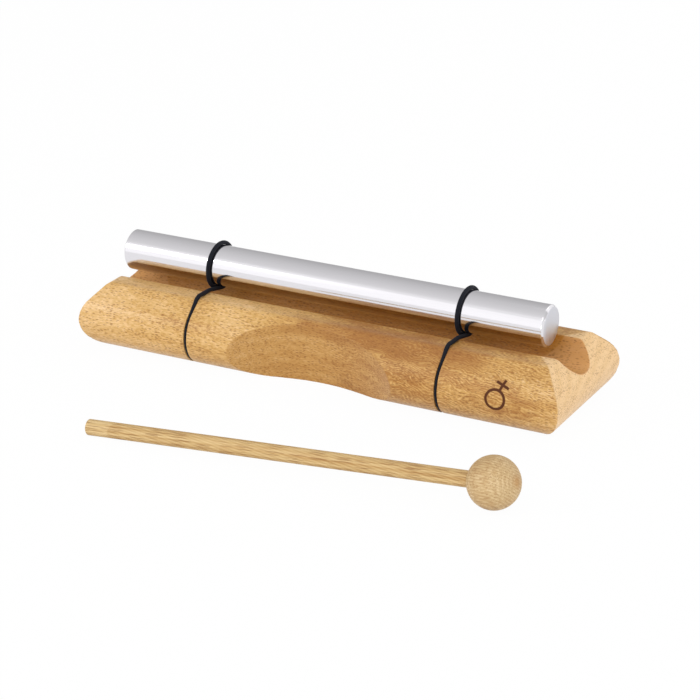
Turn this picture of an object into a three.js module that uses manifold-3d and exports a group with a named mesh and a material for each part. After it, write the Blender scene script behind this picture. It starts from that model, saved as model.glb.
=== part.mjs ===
// A tabletop chime bar: a metal tone bar hung in two elastic cords over a wooden base,
// with its wooden mallet lying in front. Millimetres, +Z up, +X along the tone bar,
// -Y towards the player. The origin is the middle of the base's underside.
import * as THREE from "three";
import { mergeVertices } from "three/addons/utils/BufferGeometryUtils.js";
import Module from "manifold-3d";

const wasm = await Module();
wasm.setup();

const radians = THREE.MathUtils.degToRad;
const X = new THREE.Vector3(1, 0, 0);
const Y = new THREE.Vector3(0, 1, 0);
const Z = new THREE.Vector3(0, 0, 1);
const quarterTurn = Math.PI / 2;
const fullTurn = 2 * Math.PI;

// Wooden base: a moulded block with rounded sides and ends and a round channel in its top.
const base = {
  length: 254,
  width: 74,
  height: 32.4,
  edgeRadius: 15,
  sideLean: radians(50),
  shoulderRadius: 5.5,
  endLean: radians(41),
  endCrestRadius: 4,
  channelRadius: 14.5,
  channelDepth: 10,
};

// Hollows for the fingers, one in each long side. They lean inwards towards the underside.
const grip = {
  radius: 78,
  depth: 13.3,
  lean: radians(11.3),
};

// Saw cuts that hold the cords, and the pockets for their knots under the base.
const kerf = {
  place: 66.5,
  width: 1.7,
  depth: 3,
};
const pocket = {
  radius: 8,
  depth: 7,
};

// Tone bar: solid round rod with a small chamfer at each end.
const bar = {
  diameter: 20,
  length: 224.5,
  chamfer: 0.9,
  shift: -5,
  aboveShoulder: 9.4,
};

// Elastic cords, one at each end of the bar. Each one turns once round the bar.
const cord = {
  diameter: 2,
  turnPitch: 2.6,
  turnStart: 0.3,
  squeezedWidth: 1.1,
};
const knot = {
  diameter: 4.6,
  length: 6.4,
  rounding: 0.9,
  aboveFloor: 0.6,
};

// Mallet: a drilled wooden ball on a thin dowel, lying on the table in front of the base.
const mallet = {
  headDiameter: 23.7,
  stickDiameter: 7.4,
  stickRounding: 0.5,
  reach: 194.5,
  socketDepth: 14,
  socketChamfer: 0.6,
  headX: 127.4,
  headY: -105.9,
  turn: radians(4.64),
};

// Clearances between pieces, and how far a cutter runs past what it cuts.
const clearance = {
  cord: 0.25,
  knot: 0.3,
  stick: 0.15,
  stickEnd: 0.4,
};
const overrun = 5;

// Counts of facets and steps.
const steps = {
  arc: 7,
  channel: 64,
  grip: 160,
  pocket: 28,
  bar: 56,
  ballAround: 40,
  ballRows: 20,
  stick: 28,
  socket: 24,
  cordSides: 8,
  cordEdge: 7,
  cordCrest: 4,
  cordTurn: 26,
  knotAround: 12,
  knotEnd: 3,
};

// Sizes that follow from the ones above.
const shoulderTop = base.height;
const channelAxisHeight = base.height - base.channelDepth + base.channelRadius;
const barRadius = bar.diameter / 2;
const barAxisHeight = shoulderTop + bar.aboveShoulder;
const cordRadius = cord.diameter / 2;
const headRadius = mallet.headDiameter / 2;
const stickRadius = mallet.stickDiameter / 2;
const knotRadius = knot.diameter / 2;
const knotHeight = knot.aboveFloor + knotRadius;

// Solids and meshes.

function toSolid(geometry) {
  const bare = geometry.index ? geometry.toNonIndexed() : geometry.clone();
  for (const name of Object.keys(bare.attributes)) {
    if (name !== "position") bare.deleteAttribute(name);
  }
  const merged = mergeVertices(bare);
  const mesh = new wasm.Mesh({
    numProp: 3,
    vertProperties: new Float32Array(merged.attributes.position.array),
    triVerts: new Uint32Array(merged.index.array),
  });
  return new wasm.Manifold(mesh);
}

function toGeometry(solid) {
  const mesh = solid.getMesh();
  const geometry = new THREE.BufferGeometry();
  geometry.setAttribute("position", new THREE.BufferAttribute(mesh.vertProperties, mesh.numProp));
  geometry.setIndex(new THREE.BufferAttribute(mesh.triVerts, 1));
  geometry.computeVertexNormals();
  return geometry;
}

function namedMesh(name, geometry, material) {
  const mesh = new THREE.Mesh(geometry, material);
  mesh.name = name;
  return mesh;
}

// A cylinder with its axis along X, Y or Z.
function rod(radius, length, axis, sides) {
  const geometry = new THREE.CylinderGeometry(radius, radius, length, sides);
  if (axis === X) geometry.rotateZ(-quarterTurn);
  if (axis === Z) geometry.rotateX(quarterTurn);
  return geometry;
}

// Moulded outline.
// A moulding is symmetric about the upright axis. Each side has a round lower edge, a straight
// face that leans inwards by lean, and a round crest that runs into the flat top.

function moulding(halfSpan, low, high, edgeRadius, lean, crestRadius) {
  const edge = new THREE.Vector2(halfSpan - edgeRadius, low + edgeRadius);
  const edgeOut = new THREE.Vector2(Math.cos(lean), Math.sin(lean)).multiplyScalar(edgeRadius).add(edge);
  const crestHeight = high - crestRadius;
  const crestSpan = edgeOut.x - (crestHeight - edgeOut.y) * Math.tan(lean) - crestRadius / Math.cos(lean);
  return { edge, edgeRadius, lean, crest: new THREE.Vector2(crestSpan, crestHeight), crestRadius };
}

function mouldingShape(form) {
  const { edge, edgeRadius, lean, crest, crestRadius } = form;
  const shape = new THREE.Shape();
  shape.absarc(edge.x, edge.y, edgeRadius, -quarterTurn, lean, false);
  shape.absarc(crest.x, crest.y, crestRadius, lean, quarterTurn, false);
  shape.absarc(-crest.x, crest.y, crestRadius, quarterTurn, Math.PI - lean, false);
  shape.absarc(-edge.x, edge.y, edgeRadius, Math.PI - lean, Math.PI + quarterTurn, false);
  shape.closePath();
  return shape;
}

// Pushes an outline along X or Y, centred on the origin.
function prism(shape, length, axis) {
  const options = { depth: length, bevelEnabled: false, curveSegments: steps.arc };
  const geometry = new THREE.ExtrudeGeometry(shape, options).translate(0, 0, -length / 2);
  const basis = new THREE.Matrix4();
  if (axis === X) basis.makeBasis(Y, Z, X);
  else basis.makeBasis(X, Z, Y.clone().negate());
  return geometry.applyMatrix4(basis);
}

const sideForm = moulding(
  base.width / 2, 0, base.height, base.edgeRadius, base.sideLean, base.shoulderRadius,
);
const endForm = moulding(
  base.length / 2, 0, base.height, base.edgeRadius, base.endLean, base.endCrestRadius,
);
const kerfForm = moulding(
  base.width / 2 - kerf.depth, kerf.depth, base.height,
  base.edgeRadius - kerf.depth, base.sideLean, base.shoulderRadius,
);

// Wooden base.

// Cutter for one finger hollow: a big cylinder that leans, side is -1 at the front.
function gripCutter(side) {
  const tall = 2 * base.height;
  const cylinder = rod(grip.radius, tall, Z, steps.grip);
  const deepest = base.width / 2 - grip.depth;
  cylinder.translate(0, side * grip.radius, 0);
  cylinder.rotateX(-side * grip.lean);
  cylinder.translate(0, side * deepest, base.edgeRadius);
  return toSolid(cylinder);
}

// Cutter for one saw cut: a thin slab less the wood that the cut leaves standing.
function kerfCutter(place) {
  const slab = new THREE.BoxGeometry(kerf.width, base.width + overrun, base.height + overrun);
  slab.translate(0, 0, base.height / 2);
  const core = prism(mouldingShape(kerfForm), kerf.width + overrun, X);
  const aboveCore = new THREE.BoxGeometry(kerf.width + overrun, 2 * kerfForm.crest.x, base.height);
  aboveCore.translate(0, 0, base.height);
  const cut = toSolid(slab).subtract(toSolid(core)).subtract(toSolid(aboveCore));
  return cut.translate([place, 0, 0]);
}

function pocketCutter(place) {
  const cylinder = rod(pocket.radius, pocket.depth + overrun, Z, steps.pocket);
  return toSolid(cylinder.translate(place, 0, (pocket.depth - overrun) / 2));
}

function makeBase() {
  const along = toSolid(prism(mouldingShape(sideForm), base.length + overrun, X));
  const across = toSolid(prism(mouldingShape(endForm), base.width + overrun, Y));
  const channel = rod(base.channelRadius, base.length + overrun, X, steps.channel);
  channel.translate(0, 0, channelAxisHeight);
  let block = along.intersect(across).subtract(toSolid(channel));
  for (const side of [-1, 1]) {
    block = block.subtract(gripCutter(side));
    block = block.subtract(kerfCutter(side * kerf.place));
    block = block.subtract(pocketCutter(side * kerf.place));
  }
  return toGeometry(block);
}

// Tone bar.

function makeBar() {
  const half = bar.length / 2;
  const inner = barRadius - bar.chamfer;
  const profile = [
    new THREE.Vector2(0, -half),
    new THREE.Vector2(inner, -half),
    new THREE.Vector2(barRadius, bar.chamfer - half),
    new THREE.Vector2(barRadius, half - bar.chamfer),
    new THREE.Vector2(inner, half),
    new THREE.Vector2(0, half),
  ];
  return new THREE.LatheGeometry(profile, steps.bar).rotateZ(-quarterTurn);
}

// Elastic cords.
// The route is worked out in the plane of the saw cut for the front half, with span measured
// outwards from the base's middle, and mirrored for the back half.

const insideKerf = -(kerf.depth / 2);
const keepShares = { shoulder: 0.55, channelEdge: 0.95 };
const onShoulder = cordRadius + clearance.cord;
const turnRadius = barRadius + cordRadius + clearance.cord;

// Stations of half a cord from its knot up to the shoulder. Each has a span, a height, how far
// the cord is squeezed, from 0, round, to 1, pressed thin in the saw cut, and the share that it
// keeps of the sideways place where it meets the bar.
function halfRoute() {
  const route = [];
  const add = (span, height, squeeze, keep = 0) => route.push({ span, height, squeeze, keep });
  const { edge, crest } = sideForm;
  const low = -insideKerf;
  add(knot.length / 2 + clearance.knot, knotHeight, 1);
  add(pocket.radius, low, 1);
  add(edge.x, low, 1);
  for (let i = 1; i <= steps.cordEdge; i++) {
    const angle = THREE.MathUtils.lerp(-quarterTurn, base.sideLean, i / steps.cordEdge);
    const reach = base.edgeRadius + insideKerf;
    add(edge.x + reach * Math.cos(angle), edge.y + reach * Math.sin(angle), 1);
  }
  for (let i = 0; i <= steps.cordCrest; i++) {
    const share = i / steps.cordCrest;
    const angle = THREE.MathUtils.lerp(base.sideLean, quarterTurn, share);
    const reach = base.shoulderRadius + THREE.MathUtils.lerp(insideKerf, onShoulder, share);
    add(crest.x + reach * Math.cos(angle), crest.y + reach * Math.sin(angle), 1);
  }
  const channelSpan = Math.sqrt(base.channelRadius ** 2 - (channelAxisHeight - shoulderTop) ** 2);
  add((crest.x + channelSpan) / 2, shoulderTop + onShoulder, 0, keepShares.shoulder);
  add(channelSpan, shoulderTop + onShoulder, 0, keepShares.channelEdge);
  return route;
}

// Stations of a whole cord: up the front, once round the bar and down the back.
function cordStations() {
  const front = halfRoute();
  const last = front[front.length - 1];
  const drop = barAxisHeight - last.height;
  const away = Math.hypot(last.span, drop);
  const touch = Math.atan2(drop, last.span) + Math.acos(turnRadius / away);
  const sweep = fullTurn + 2 * (quarterTurn - touch);
  const turnEnd = cord.turnStart - (cord.turnPitch * sweep) / fullTurn;
  const stations = front.map(({ span, height, squeeze, keep }) => ({
    point: new THREE.Vector3(keep * cord.turnStart, -span, height), squeeze,
  }));
  for (let i = 0; i <= steps.cordTurn; i++) {
    const share = i / steps.cordTurn;
    const angle = Math.PI + touch + share * sweep;
    const across = THREE.MathUtils.lerp(cord.turnStart, turnEnd, share);
    const point = new THREE.Vector3(
      across, turnRadius * Math.cos(angle), barAxisHeight + turnRadius * Math.sin(angle),
    );
    stations.push({ point, squeeze: 0 });
  }
  for (const { span, height, squeeze, keep } of front.reverse()) {
    stations.push({ point: new THREE.Vector3(keep * turnEnd, span, height), squeeze });
  }
  return stations;
}

// Sweeps an oval section along the stations and closes both ends.
function sweep(stations) {
  const sides = steps.cordSides;
  const positions = [];
  const triangles = [];
  const last = stations.length - 1;
  stations.forEach(({ point, squeeze }, i) => {
    const before = stations[Math.max(i - 1, 0)].point;
    const after = stations[Math.min(i + 1, last)].point;
    const tangent = after.clone().sub(before).normalize();
    const across = X.clone().addScaledVector(tangent, -tangent.x).normalize();
    const outward = tangent.clone().cross(across);
    const halfAcross = THREE.MathUtils.lerp(cordRadius, cord.squeezedWidth / 2, squeeze);
    for (let k = 0; k < sides; k++) {
      const angle = (k / sides) * fullTurn;
      const corner = point.clone()
        .addScaledVector(across, halfAcross * Math.cos(angle))
        .addScaledVector(outward, cordRadius * Math.sin(angle));
      positions.push(corner.x, corner.y, corner.z);
    }
  });
  for (let i = 0; i < last; i++) {
    for (let k = 0; k < sides; k++) {
      const a = i * sides + k;
      const b = i * sides + ((k + 1) % sides);
      triangles.push(a, b, b + sides, a, b + sides, a + sides);
    }
  }
  for (let k = 1; k < sides - 1; k++) {
    triangles.push(0, k + 1, k);
    const end = last * sides;
    triangles.push(end, end + k, end + k + 1);
  }
  const geometry = new THREE.BufferGeometry();
  geometry.setAttribute("position", new THREE.Float32BufferAttribute(positions, 3));
  geometry.setIndex(triangles);
  geometry.computeVertexNormals();
  return geometry;
}

// Least gap between stretches of one cord that lie at least a bar's width apart along it,
// measured on points closer together than its radius.
function leastGap(stations) {
  const points = [];
  const along = [];
  let length = 0;
  for (let i = 1; i < stations.length; i++) {
    const from = stations[i - 1].point;
    const to = stations[i].point;
    const count = Math.ceil(from.distanceTo(to) / (cordRadius / 2));
    for (let k = 0; k < count; k++) {
      points.push(from.clone().lerp(to, k / count));
      along.push(length + from.distanceTo(to) * (k / count));
    }
    length += from.distanceTo(to);
  }
  let least = Infinity;
  for (let i = 0; i < points.length; i++) {
    for (let j = i + 1; j < points.length; j++) {
      if (along[j] - along[i] < bar.diameter) continue;
      least = Math.min(least, points[i].distanceTo(points[j]) - cord.diameter);
    }
  }
  return { least, length };
}

// A knot is a short barrel with rounded ends, lying along Y between the cord's two ends.
function makeKnot() {
  const half = knot.length / 2;
  const profile = [new THREE.Vector2(0, -half)];
  for (const end of [-1, 1]) {
    for (let i = 0; i <= steps.knotEnd; i++) {
      const share = end < 0 ? i / steps.knotEnd : 1 - i / steps.knotEnd;
      const angle = share * quarterTurn;
      const inner = knotRadius - knot.rounding;
      profile.push(new THREE.Vector2(
        inner + knot.rounding * Math.sin(angle),
        end * (half - knot.rounding + knot.rounding * Math.cos(angle)),
      ));
    }
  }
  profile.push(new THREE.Vector2(0, half));
  return new THREE.LatheGeometry(profile, steps.knotAround);
}

// Mallet.
// Both pieces are made along X with the ball's centre at the origin, and the group that holds
// them is then turned and tipped, so that the ball and the stick's far end touch the table.

function makeStick() {
  const far = -mallet.reach;
  const near = mallet.socketDepth - headRadius - clearance.stickEnd;
  const inner = stickRadius - mallet.stickRounding;
  const profile = [
    new THREE.Vector2(0, far),
    new THREE.Vector2(inner, far),
    new THREE.Vector2(stickRadius, far + mallet.stickRounding),
    new THREE.Vector2(stickRadius, near - mallet.stickRounding),
    new THREE.Vector2(inner, near),
    new THREE.Vector2(0, near),
  ];
  return new THREE.LatheGeometry(profile, steps.stick).rotateZ(-quarterTurn);
}

function makeHead() {
  const ball = new THREE.SphereGeometry(headRadius, steps.ballAround, steps.ballRows);
  ball.rotateZ(quarterTurn);
  const boreRadius = stickRadius + clearance.stick;
  const mouth = -Math.sqrt(headRadius ** 2 - boreRadius ** 2);
  const bottom = mallet.socketDepth - headRadius;
  const profile = [
    new THREE.Vector2(0, -headRadius - overrun),
    new THREE.Vector2(boreRadius + overrun + mallet.socketChamfer, mouth - overrun),
    new THREE.Vector2(boreRadius, mouth + mallet.socketChamfer),
    new THREE.Vector2(boreRadius, bottom),
    new THREE.Vector2(0, bottom),
  ];
  const cutter = new THREE.LatheGeometry(profile, steps.socket).rotateZ(-quarterTurn);
  return toGeometry(toSolid(ball).subtract(toSolid(cutter)));
}

// Materials.

const wood = new THREE.MeshStandardMaterial({ color: 0xd9ae74, roughness: 0.62, metalness: 0 });
const paleWood = new THREE.MeshStandardMaterial({ color: 0xdcb783, roughness: 0.6, metalness: 0 });
const metal = new THREE.MeshStandardMaterial({ color: 0xd6d7da, roughness: 0.16, metalness: 1 });
const elastic = new THREE.MeshStandardMaterial({ color: 0x151b26, roughness: 0.8, metalness: 0 });

// Assembly.

const chimeBar = new THREE.Group();

chimeBar.add(namedMesh("wooden_base", makeBase(), wood));

const toneBar = namedMesh("tone_bar", makeBar(), metal);
toneBar.position.set(bar.shift, 0, barAxisHeight);
chimeBar.add(toneBar);

for (const [name, side] of [["left", -1], ["right", 1]]) {
  const stations = cordStations();
  const loop = namedMesh(`${name}_cord`, sweep(stations), elastic);
  loop.position.x = side * kerf.place;
  chimeBar.add(loop);

  const tie = namedMesh(`${name}_cord_knot`, makeKnot(), elastic);
  tie.position.set(side * kerf.place, 0, knotHeight);
  chimeBar.add(tie);

  const { least, length } = leastGap(stations);
  console.log(`${name}_cord: length ${length.toFixed(1)} mm, least gap to itself ${least.toFixed(2)} mm`);
}

const malletGroup = new THREE.Group();
malletGroup.rotation.order = "ZYX";
malletGroup.rotation.z = mallet.turn;
malletGroup.rotation.y = -Math.asin((headRadius - stickRadius) / mallet.reach);
malletGroup.position.set(mallet.headX, mallet.headY, headRadius);
malletGroup.add(namedMesh("mallet_stick", makeStick(), paleWood));
malletGroup.add(namedMesh("mallet_head", makeHead(), paleWood));
chimeBar.add(malletGroup);

export default chimeBar;
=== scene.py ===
"""Tabletop chime bar with its mallet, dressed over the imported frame.

A metal tone bar hangs in two elastic cords over a moulded wooden base, and a
wooden mallet lies in front. Sizes are in millimetres and become metres when a
mesh is made. +X runs along the tone bar, -Y points towards the player.
"""
import logging
import math
from dataclasses import dataclass, field
from enum import Enum
from typing import Callable, Iterable, Sequence, TypeAlias

import bpy
import numpy as np
from mathutils import Matrix, Vector


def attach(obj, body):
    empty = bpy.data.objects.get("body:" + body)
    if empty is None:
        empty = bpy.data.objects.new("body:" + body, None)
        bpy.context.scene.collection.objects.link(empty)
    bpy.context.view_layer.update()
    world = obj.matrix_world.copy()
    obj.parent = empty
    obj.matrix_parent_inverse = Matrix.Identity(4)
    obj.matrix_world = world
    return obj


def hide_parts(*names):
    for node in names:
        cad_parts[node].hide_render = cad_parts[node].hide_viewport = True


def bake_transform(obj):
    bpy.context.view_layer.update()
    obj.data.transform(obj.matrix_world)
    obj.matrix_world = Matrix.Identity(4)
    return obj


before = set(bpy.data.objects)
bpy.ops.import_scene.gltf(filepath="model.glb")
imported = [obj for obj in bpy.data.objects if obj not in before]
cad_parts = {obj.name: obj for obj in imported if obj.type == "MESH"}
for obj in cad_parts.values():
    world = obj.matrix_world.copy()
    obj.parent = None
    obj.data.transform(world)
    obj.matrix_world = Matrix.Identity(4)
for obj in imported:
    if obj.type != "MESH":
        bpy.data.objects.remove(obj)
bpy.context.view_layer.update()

MM = 0.001
QUARTER = math.pi / 2
FULL = 2 * math.pi
TINY = 1e-6
WHITE = (1.0, 1.0, 1.0, 1.0)
ORIGIN = (0.0, 0.0, 0.0)
WITHOUT_X = (0.0, 1.0, 1.0)
HALF = 0.5

Array: TypeAlias = np.ndarray
Material: TypeAlias = bpy.types.Material
Thing: TypeAlias = bpy.types.Object
Tree: TypeAlias = bpy.types.NodeTree
Pair: TypeAlias = tuple[float, float]
Triple: TypeAlias = tuple[float, float, float]
Colour: TypeAlias = tuple[float, float, float, float]
Operand: TypeAlias = "Value | float | Sequence[float]"

log = logging.getLogger("chime_bar")


class Body(str, Enum):
    """The bodies of the frame that pieces ride on."""

    BASE = "base"
    LOOPS = "cord_loops"
    BAR = "bar"
    MALLET = "mallet"


class Slot(str, Enum):
    """The record's material slots."""

    BASE_WOOD = "base_wood"
    BAR_METAL = "bar_metal"
    CORD = "elastic_cord"
    MALLET_WOOD = "mallet_wood"


class SocketKind(str, Enum):
    """The kinds of socket that the node groups have."""

    NUMBER = "NodeSocketFloat"
    COUNT = "NodeSocketInt"
    VECTOR = "NodeSocketVector"
    GEOMETRY = "NodeSocketGeometry"
    MATERIAL = "NodeSocketMaterial"


class End(Enum):
    """The two ends of the instrument, as directions along X."""

    LEFT = -1
    RIGHT = 1

    @property
    def side(self) -> str:
        """The end's name in the names of pieces."""
        return self.name.lower()


# Node trees.


class Value:
    """One output of a node, which plain operators turn into further nodes."""

    def __init__(self, nodes: "Nodes", socket: bpy.types.NodeSocket) -> None:
        """Keeps the output and the tree's nodes."""
        self.nodes = nodes
        self.socket = socket

    @property
    def is_vector(self) -> bool:
        """Whether the value has three parts."""
        return self.socket.type in ("VECTOR", "RGBA")

    def work(self, operation: str, *others: Operand) -> "Value":
        """Adds a Math node, or a Vector Math node where this value is a vector."""
        add = self.nodes.vector if self.is_vector else self.nodes.math
        return add(operation, self, *others)

    def __add__(self, other: Operand) -> "Value":
        """Adds another value."""
        return self.work("ADD", other)

    def __sub__(self, other: Operand) -> "Value":
        """Takes another value away."""
        return self.work("SUBTRACT", other)

    def __rsub__(self, number: float) -> "Value":
        """Takes this value away from a number."""
        return self.nodes.math("SUBTRACT", number, self)

    def __mul__(self, other: Operand) -> "Value":
        """Multiplies by another value."""
        return self.work("MULTIPLY", other)

    def __truediv__(self, other: Operand) -> "Value":
        """Divides by another value."""
        return self.work("DIVIDE", other)

    def __pow__(self, power: float) -> "Value":
        """Raises to a power."""
        return self.work("POWER", power)

    def __abs__(self) -> "Value":
        """Drops the sign."""
        return self.work("ABSOLUTE")

    def sine(self) -> "Value":
        """Takes the sine of an angle in radians."""
        return self.work("SINE")

    def larger(self, other: Operand) -> "Value":
        """Takes the larger of two values."""
        return self.work("MAXIMUM", other)

    def smaller(self, other: Operand) -> "Value":
        """Takes the smaller of two values."""
        return self.work("MINIMUM", other)

    def times_plus(self, factor: Operand, more: Operand, clamp: bool = False) -> "Value":
        """Multiplies and adds in one node, and clamps to 0..1 if asked."""
        return self.nodes.math("MULTIPLY_ADD", self, factor, more, clamp=clamp)

    def scaled(self, factor: Operand) -> "Value":
        """Scales a vector by a number."""
        return self.nodes.add("ShaderNodeVectorMath", {0: self, "Scale": factor}, operation="SCALE")[0]

    def length(self) -> "Value":
        """Measures a vector."""
        return self.work("LENGTH")

    def parts(self) -> list["Value"]:
        """Splits a vector into X, Y and Z."""
        split = self.nodes.add("ShaderNodeSeparateXYZ", {0: self})
        return [split[axis] for axis in "XYZ"]

    def outside(self, middle: float, half: float) -> "Value":
        """Measures how far the value lies outside a stretch round a middle."""
        return abs(self - middle) - half

    def span(self, low: Operand, high: Operand, start: float = 0.0, end: float = 1.0,
             smooth: bool = True) -> "Value":
        """Maps the value from low..high to start..end and holds it there.

        Args:
            low: the value that becomes start.
            high: the value that becomes end.
            start: the result at low.
            end: the result at high.
            smooth: whether the result eases in and out.

        Returns:
            The mapped value.
        """
        kind = "SMOOTHSTEP" if smooth else "LINEAR"
        inputs = {"Value": self, "From Min": low, "From Max": high, "To Min": start, "To Max": end}
        return self.nodes.add("ShaderNodeMapRange", inputs, interpolation_type=kind)["Result"]


class Outputs:
    """The outputs of one node, by name or number."""

    def __init__(self, nodes: "Nodes", node: bpy.types.Node) -> None:
        """Keeps the node and the tree's nodes."""
        self.nodes = nodes
        self.node = node

    def __getitem__(self, key: str | int) -> Value:
        """Gives one output."""
        return Value(self.nodes, self.node.outputs[key])


class Nodes:
    """Adds nodes to one tree and links them."""

    def __init__(self, tree: Tree) -> None:
        """Empties the tree and keeps it."""
        self.tree = tree
        tree.nodes.clear()

    def add(self, kind: str, inputs: dict | None = None, **settings: object) -> Outputs:
        """Adds one node.

        Args:
            kind: the node's Blender type.
            inputs: a Value or a plain setting for each input, by name or number.
            settings: the node's own properties, set before its inputs.

        Returns:
            The new node's outputs.
        """
        node = self.tree.nodes.new(kind)
        for name, setting in settings.items():
            setattr(node, name, setting)
        self.fill(node, inputs or {})
        return Outputs(self, node)

    def fill(self, node: bpy.types.Node, inputs: dict) -> None:
        """Links or sets a node's inputs.

        Args:
            node: the node.
            inputs: a Value or a plain setting for each input, by name or number.
        """
        for key, given in inputs.items():
            if isinstance(given, Value):
                self.tree.links.new(given.socket, node.inputs[key])
            else:
                node.inputs[key].default_value = given

    def math(self, operation: str, *values: Operand, clamp: bool = False) -> Value:
        """Adds a Math node."""
        inputs = dict(enumerate(values))
        return self.add("ShaderNodeMath", inputs, operation=operation, use_clamp=clamp)[0]

    def vector(self, operation: str, *values: Operand) -> Value:
        """Adds a Vector Math node."""
        made = self.add("ShaderNodeVectorMath", dict(enumerate(values)), operation=operation)
        return made["Value" if operation in ("LENGTH", "DOT_PRODUCT") else 0]

    def join(self, **parts: Operand) -> Value:
        """Makes a vector from its X, Y and Z."""
        return self.add("ShaderNodeCombineXYZ", parts)[0]

    def mix(self, factor: Operand, first: Operand, second: Operand) -> Value:
        """Mixes two colours."""
        return self.add("ShaderNodeMix", {0: factor, 6: first, 7: second}, data_type="RGBA")[2]

    def bump(self, height: Value, strength: float, depth: float) -> Value:
        """Turns a height into a normal, for a depth in millimetres."""
        inputs = {"Height": height, "Strength": strength, "Distance": depth * MM}
        return self.add("ShaderNodeBump", inputs)[0]

    def surface(self, inputs: dict) -> None:
        """Ends a material in a Principled shader with these inputs."""
        shader = self.add("ShaderNodeBsdfPrincipled", inputs)
        self.add("ShaderNodeOutputMaterial", {"Surface": shader[0]})


@dataclass(frozen=True)
class Noise:
    """A noise pattern: cells per millimetre along X, Y and Z, detail and roughness."""

    cells: Operand
    detail: float
    roughness: float = 0.5

    def of(self, place: Value) -> Outputs:
        """Adds the pattern at a place, in one Noise Texture."""
        return place.nodes.add("ShaderNodeTexNoise", {
            "Vector": place * self.cells, "Scale": 1.0, "Detail": self.detail, "Roughness": self.roughness})

    def push(self, place: Value, reach: Operand) -> Value:
        """Moves a place with the pattern's colour, by up to about half the reach."""
        colour = self.of(place)["Color"]
        return place + (colour - (HALF, HALF, HALF)).scaled(reach)


def new_group(name: str, kind: str, inputs: dict, outputs: dict) -> tuple[Nodes, Outputs]:
    """Makes an empty node group with named sockets.

    Args:
        name: the group's name.
        kind: the tree's type, for shaders or geometry.
        inputs: a default value for each input's name, or a socket kind where it has none.
        outputs: a socket kind for each output's name.

    Returns:
        The group's Nodes, and the outputs of its input node.
    """
    kinds = {float: SocketKind.NUMBER, int: SocketKind.COUNT, tuple: SocketKind.VECTOR}
    tree = bpy.data.node_groups.new(name, kind)
    for label, value in inputs.items():
        socket_kind = kinds.get(type(value), value)
        socket = tree.interface.new_socket(label, in_out="INPUT", socket_type=socket_kind.value)
        if socket_kind is not value:
            socket.default_value = value
    for label, socket_kind in outputs.items():
        tree.interface.new_socket(label, in_out="OUTPUT", socket_type=socket_kind.value)
    nodes = Nodes(tree)
    return nodes, nodes.add("NodeGroupInput")


def new_material(name: str) -> tuple[Material, Nodes]:
    """Makes a material with an empty tree.

    Args:
        name: the material's name.

    Returns:
        The material and its Nodes.
    """
    made = bpy.data.materials.new(name)
    made.use_nodes = True
    return made, Nodes(made.node_tree)


def own_place(nodes: Nodes, turn: Triple = ORIGIN, centre: Triple = ORIGIN) -> Value:
    """Gives a piece's own coordinates in millimetres, turned about a centre.

    Args:
        nodes: the material's nodes.
        turn: the grain's turn about X, Y and Z, in radians.
        centre: the point that becomes the pattern's origin, in millimetres.

    Returns:
        The coordinates.
    """
    inputs = {"Vector": nodes.add("ShaderNodeTexCoord")["Object"],
              "Location": tuple(c * MM for c in centre), "Rotation": turn, "Scale": (MM, MM, MM)}
    return nodes.add("ShaderNodeMapping", inputs, vector_type="TEXTURE")[0]


def linear(red: int, green: int, blue: int) -> Colour:
    """Turns a colour from 0..255 screen values into Blender's linear values.

    Args:
        red: the colour's red.
        green: the colour's green.
        blue: the colour's blue.

    Returns:
        The linear colour, opaque.
    """
    def channel(value: float) -> float:
        """Turns one screen value from 0..1 into a linear one."""
        return value / 12.92 if value <= 0.04045 else ((value + 0.055) / 1.055) ** 2.4
    return (channel(red / 255), channel(green / 255), channel(blue / 255), 1.0)


# Shared shader groups.


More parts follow.
